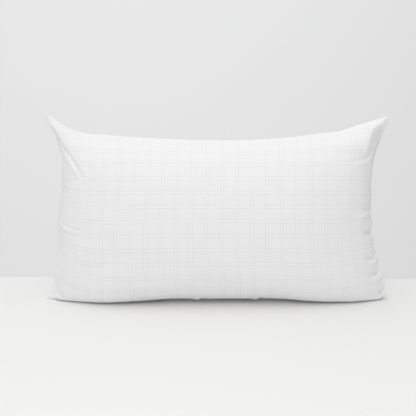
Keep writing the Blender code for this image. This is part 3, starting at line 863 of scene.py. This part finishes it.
class Graph(Tree):
    """Writes one material's nodes."""

    def __init__(self, name, roughness, settings=()):
        self.material = bpy.data.materials.new(name)
        self.material.use_nodes = True
        super().__init__(self.material.node_tree)
        self.shader = self.nodes["Principled BSDF"]
        self.shader.inputs["Roughness"].default_value = roughness
        for key, value in settings:
            self.shader.inputs[key].default_value = value

    def fade(self, value, start, end, low=0.0, high=1.0):
        """low at start and high at end, smoothly."""
        made = self.node("ShaderNodeMapRange", interpolation_type="SMOOTHSTEP")
        for socket, number in zip(made.inputs, (value, start, end, low, high)):
            self.feed(socket, number)
        return made.outputs[0]

    def flat_place(self):
        """The place on the flat cloth, in metres."""
        return self.place(self.node("ShaderNodeUVMap", uv_map="flat"), 0)[:2]

    def noise(self, vector, scale, detail):
        made = self.node("ShaderNodeTexNoise")
        for name, value in (("Vector", vector), ("Scale", scale), ("Detail", detail)):
            self.feed(made.inputs[name], value)
        return made.outputs[0]

    def stretched_noise(self, u, v, size_u, size_v):
        """Noise of one size across the cloth and another up it."""
        place = self.node("ShaderNodeCombineXYZ")
        self.feed(place.inputs[0], self.math("MULTIPLY", u, 1.0 / size_u))
        self.feed(place.inputs[1], self.math("MULTIPLY", v, 1.0 / size_v))
        return self.noise(place.outputs[0], 1.0, 2.0)

    def weave(self, thread, float_length, light, dark):
        """The colour and the height of cloth of two thread directions, and the flat place."""
        u, v = self.flat_place()
        warp = self.stretched_noise(u, v, thread, float_length)
        weft = self.stretched_noise(u, v, float_length, thread)
        threads = self.math("ADD", warp, weft)
        return self.mix(self.fade(threads, 0.7, 1.3), dark, light), threads, u, v

    def mix(self, share, first, second):
        """The first colour at share 0, and the second at share 1."""
        made = self.node("ShaderNodeMix", data_type="RGBA")
        self.feed(made.inputs[0], share)
        for socket, colour in zip((made.inputs[6], made.inputs[7]), (first, second)):
            self.feed(socket, colour if isinstance(colour, bpy.types.NodeSocket) else (*colour, 1.0))
        return made.outputs[2]

    def colour(self, value):
        self.feed(self.shader.inputs["Base Color"], value)

    def bump(self, height, distance, strength=1.0):
        made = self.node("ShaderNodeBump")
        made.inputs["Strength"].default_value = strength
        made.inputs["Distance"].default_value = distance
        self.feed(made.inputs["Height"], height)
        self.links.new(made.outputs[0], self.shader.inputs["Normal"])


def line_pairs(graph, place, shift, pitch):
    """How much a place is on one of a check's double lines, and how much it is between the two."""
    across = graph.math("WRAP", graph.math("SUBTRACT", place, shift), pitch / 2, -pitch / 2)
    off_middle = graph.math("ABSOLUTE", across)
    off_line = graph.math("ABSOLUTE", graph.math("SUBTRACT", off_middle, CHECK_PAIR / 2))
    line = graph.fade(off_line, CHECK_LINE * 0.35, CHECK_LINE * 0.75, 1.0, 0.0)
    between = graph.fade(off_middle, CHECK_PAIR * 0.35, CHECK_PAIR * 0.5, 1.0, 0.0)
    return line, between


def check_cotton():
    """White cotton with a pale grey double-line check woven in."""
    graph = Graph("check_cotton", 0.85, CLOTH_SHEEN)
    white, off_white = (0.925, 0.920, 0.925), (0.885, 0.880, 0.885)
    field, threads, u, v = graph.weave(0.00045, 0.006, white, off_white)
    column, in_column = line_pairs(graph, u, CHECK_SHIFT_U, CHECK_WIDTH)
    row, in_row = line_pairs(graph, v, CHECK_SHIFT_V, CHECK_HEIGHT)
    lines = graph.math("MAXIMUM", column, row)
    bands = graph.math("MAXIMUM", in_column, in_row)
    banded = graph.mix(graph.math("MULTIPLY", bands, 0.3), field, (0.945, 0.940, 0.945))
    graph.colour(graph.mix(graph.math("MULTIPLY", lines, 0.33), banded, (0.72, 0.715, 0.71)))
    raised = graph.math("MULTIPLY_ADD", lines, 0.5, threads)
    graph.bump(raised, 0.00012, 0.6)
    return graph.material


def ticking_cotton():
    """Close white cotton with a faint woven stripe."""
    graph = Graph("ticking_cotton", 0.88, CLOTH_SHEEN)
    plain, threads, u, _ = graph.weave(0.0004, 0.0056, (0.90, 0.89, 0.87), (0.85, 0.84, 0.82))
    across = graph.math("ABSOLUTE", graph.math("WRAP", u, 0.010, -0.010))
    stripe = graph.fade(across, 0.0035, 0.0040)
    graph.colour(graph.mix(graph.math("MULTIPLY", stripe, 0.4), plain, (0.80, 0.80, 0.80)))
    graph.bump(threads, 0.00012, 0.6)
    return graph.material


def zip_tape():
    """White tape in a fine herringbone."""
    graph = Graph("zip_tape", 0.8, CLOTH_SHEEN)
    field, _, u, v = graph.weave(0.00035, 0.0049, (0.88, 0.87, 0.85), (0.80, 0.79, 0.77))
    graph.colour(field)
    slant = graph.math("PINGPONG", graph.math("ADD", v, graph.math("PINGPONG", u, 0.0012)), 0.0004)
    graph.bump(slant, 0.0002, 0.8)
    return graph.material


def label_satin():
    """Smooth satin ribbon, with nothing printed on it."""
    graph = Graph("label_satin", 0.42, (("Anisotropic", 0.4),))
    field, threads, _, _ = graph.weave(0.00018, 0.00252, (0.90, 0.90, 0.89), (0.84, 0.84, 0.83))
    graph.colour(field)
    graph.bump(threads, 0.000054, 0.6)
    return graph.material


def solid_noise(graph, size, detail=3.0):
    """Noise through the piece's own space, of about this size."""
    return graph.noise(graph.node("ShaderNodeTexCoord").outputs["Object"], 1.0 / size, detail)


def fibre():
    """Loose polyester fibre."""
    graph = Graph("fibre", 0.95, (("Sheen Weight", 0.3),))
    tufts, strands = solid_noise(graph, 0.018), solid_noise(graph, 0.0012, 6.0)
    graph.colour(graph.mix(graph.fade(tufts, 0.3, 0.7), (0.80, 0.80, 0.79), (0.90, 0.90, 0.90)))
    graph.bump(graph.math("ADD", tufts, graph.math("MULTIPLY", strands, 0.3)), 0.003)
    return graph.material


def moulded(name, light, dark, roughness, size, settings=()):
    """A smooth hard finish with slight mottling and an uneven gloss."""
    graph = Graph(name, roughness, settings)
    mottle = solid_noise(graph, size)
    graph.colour(graph.mix(graph.fade(mottle, 0.35, 0.65), dark, light))
    gloss = graph.fade(mottle, 0.3, 0.7, roughness - 0.06, roughness + 0.08)
    graph.feed(graph.shader.inputs["Roughness"], gloss)
    graph.bump(mottle, 0.00004, 0.5)
    return graph.material


def sewing_thread():
    """White spun thread."""
    graph = Graph("sewing_thread", 0.7, CLOTH_SHEEN)
    twist = solid_noise(graph, 0.0003, 1.0)
    graph.colour(graph.mix(twist, (0.84, 0.83, 0.82), (0.93, 0.93, 0.93)))
    graph.bump(twist, 0.0001)
    return graph.material


# Stage, lights and camera


def aimed(name, data, location, target):
    """A light or camera at a place, turned towards a point."""
    obj = bpy.data.objects.new(name, data)
    bpy.context.scene.collection.objects.link(obj)
    obj.location = location
    obj.rotation_euler = (Vector(target) - obj.location).to_track_quat("-Z", "Y").to_euler()
    return obj


def add_light(name, location, target, size, power):
    """A square light that shines on a point."""
    light = bpy.data.lights.new(name, "AREA")
    light.size = size
    light.energy = power
    aimed(name, light, location, target)


def light_room(tree):
    """A pale room, brighter overhead and behind the pillow, and darker to the right and at both sides."""
    right, back, up = tree.place(tree.node("ShaderNodeTexCoord"), "Generated")
    sides = tree.math("MULTIPLY", right, right)
    total = ROOM_LEVEL
    for way, slope in ((up, ROOM_UP), (back, ROOM_BACK), (right, ROOM_RIGHT), (sides, ROOM_SIDES)):
        total = tree.math("MULTIPLY_ADD", way, slope, total)
    background = tree.nodes["Background"]
    background.inputs[0].default_value = ROOM_COLOUR
    tree.links.new(total, background.inputs[1])


def make_stage():
    """The floor, which ends a little behind the pillow, and the light."""
    left, right = -FLOOR_REACH, FLOOR_REACH
    points = [
        (left, -FLOOR_REACH, 0.0), (right, -FLOOR_REACH, 0.0),
        (right, FLOOR_BACK_EDGE + FLOOR_BACK_SLOPE * right, 0.0),
        (left, FLOOR_BACK_EDGE + FLOOR_BACK_SLOPE * left, 0.0),
    ]
    floor = mesh_object("floor", points, [(0, 1, 2, 3)])
    graph = Graph("floor_paint", FLOOR_ROUGHNESS)
    graph.colour(FLOOR_COLOUR)
    floor.data.materials.append(graph.material)
    world = bpy.data.worlds.new("studio")
    bpy.context.scene.world = world
    world.use_nodes = True
    light_room(Tree(world.node_tree))
    add_light("soft_box", *SOFT_BOX)
    add_light("front_box", *FRONT_BOX)


def make_camera():
    """In front of the pillow and a little above it."""
    camera = aimed("camera", bpy.data.cameras.new("camera"), CAMERA_PLACE, CAMERA_TARGET)
    camera.data.lens = CAMERA_LENS
    bpy.context.scene.camera = camera
    bpy.context.scene.view_settings.view_transform = "Standard"


# Building


def make_cover(settled, cotton, thread):
    """The cover's two panels, and the stitches beside its zip."""
    stitches = []
    panels = [Panel(skin, side) for skin, side in zip(settled, (FRONT, BACK))]
    for panel in panels:
        round_corner(panel)
    room = np.linalg.norm(panels[0].points - panels[1].points, axis=2)
    for label, panel in zip(("front", "back"), panels):
        finish_cover(panel, room)
        cover = cover_cloth(f"cover_{label}_cloth", panel, cotton)
        place(cover, "pillow", "check_cotton", f"cover_{label}")
        stitches += stitch_paths(panel)
    seam = tubes("zip_stitches", stitches, THREAD_RADIUS, np.array([1.0, 0.0, 0.0]), thread)
    place(seam, "pillow", "check_cotton")


def make_zip():
    """The tapes and teeth, and a finish for the stops, the slider and its tab."""
    weave = zip_tape()
    nylon = moulded("zip_nylon", (0.90, 0.90, 0.89), (0.84, 0.84, 0.83), 0.38, 0.004)
    coat = (("Coat Weight", 0.3),)
    enamel = moulded("zip_enamel", (0.88, 0.88, 0.87), (0.83, 0.83, 0.82), 0.30, 0.003, coat)
    for label, side in (("front", FRONT), ("back", BACK)):
        make_tape(label, side, weave)
        make_coil(label, side, nylon)
    for name in ENAMELLED:
        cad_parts[name].data.materials[0] = enamel


def build():
    settled = settle_cloth()
    make_cover(settled, check_cotton(), sewing_thread())
    inside = Inside(*settled)
    make_inner_pillow(inside, ticking_cotton())
    make_fill(inside, fibre())
    make_label(inside, label_satin())
    make_zip()
    make_stage()
    make_camera()


build()
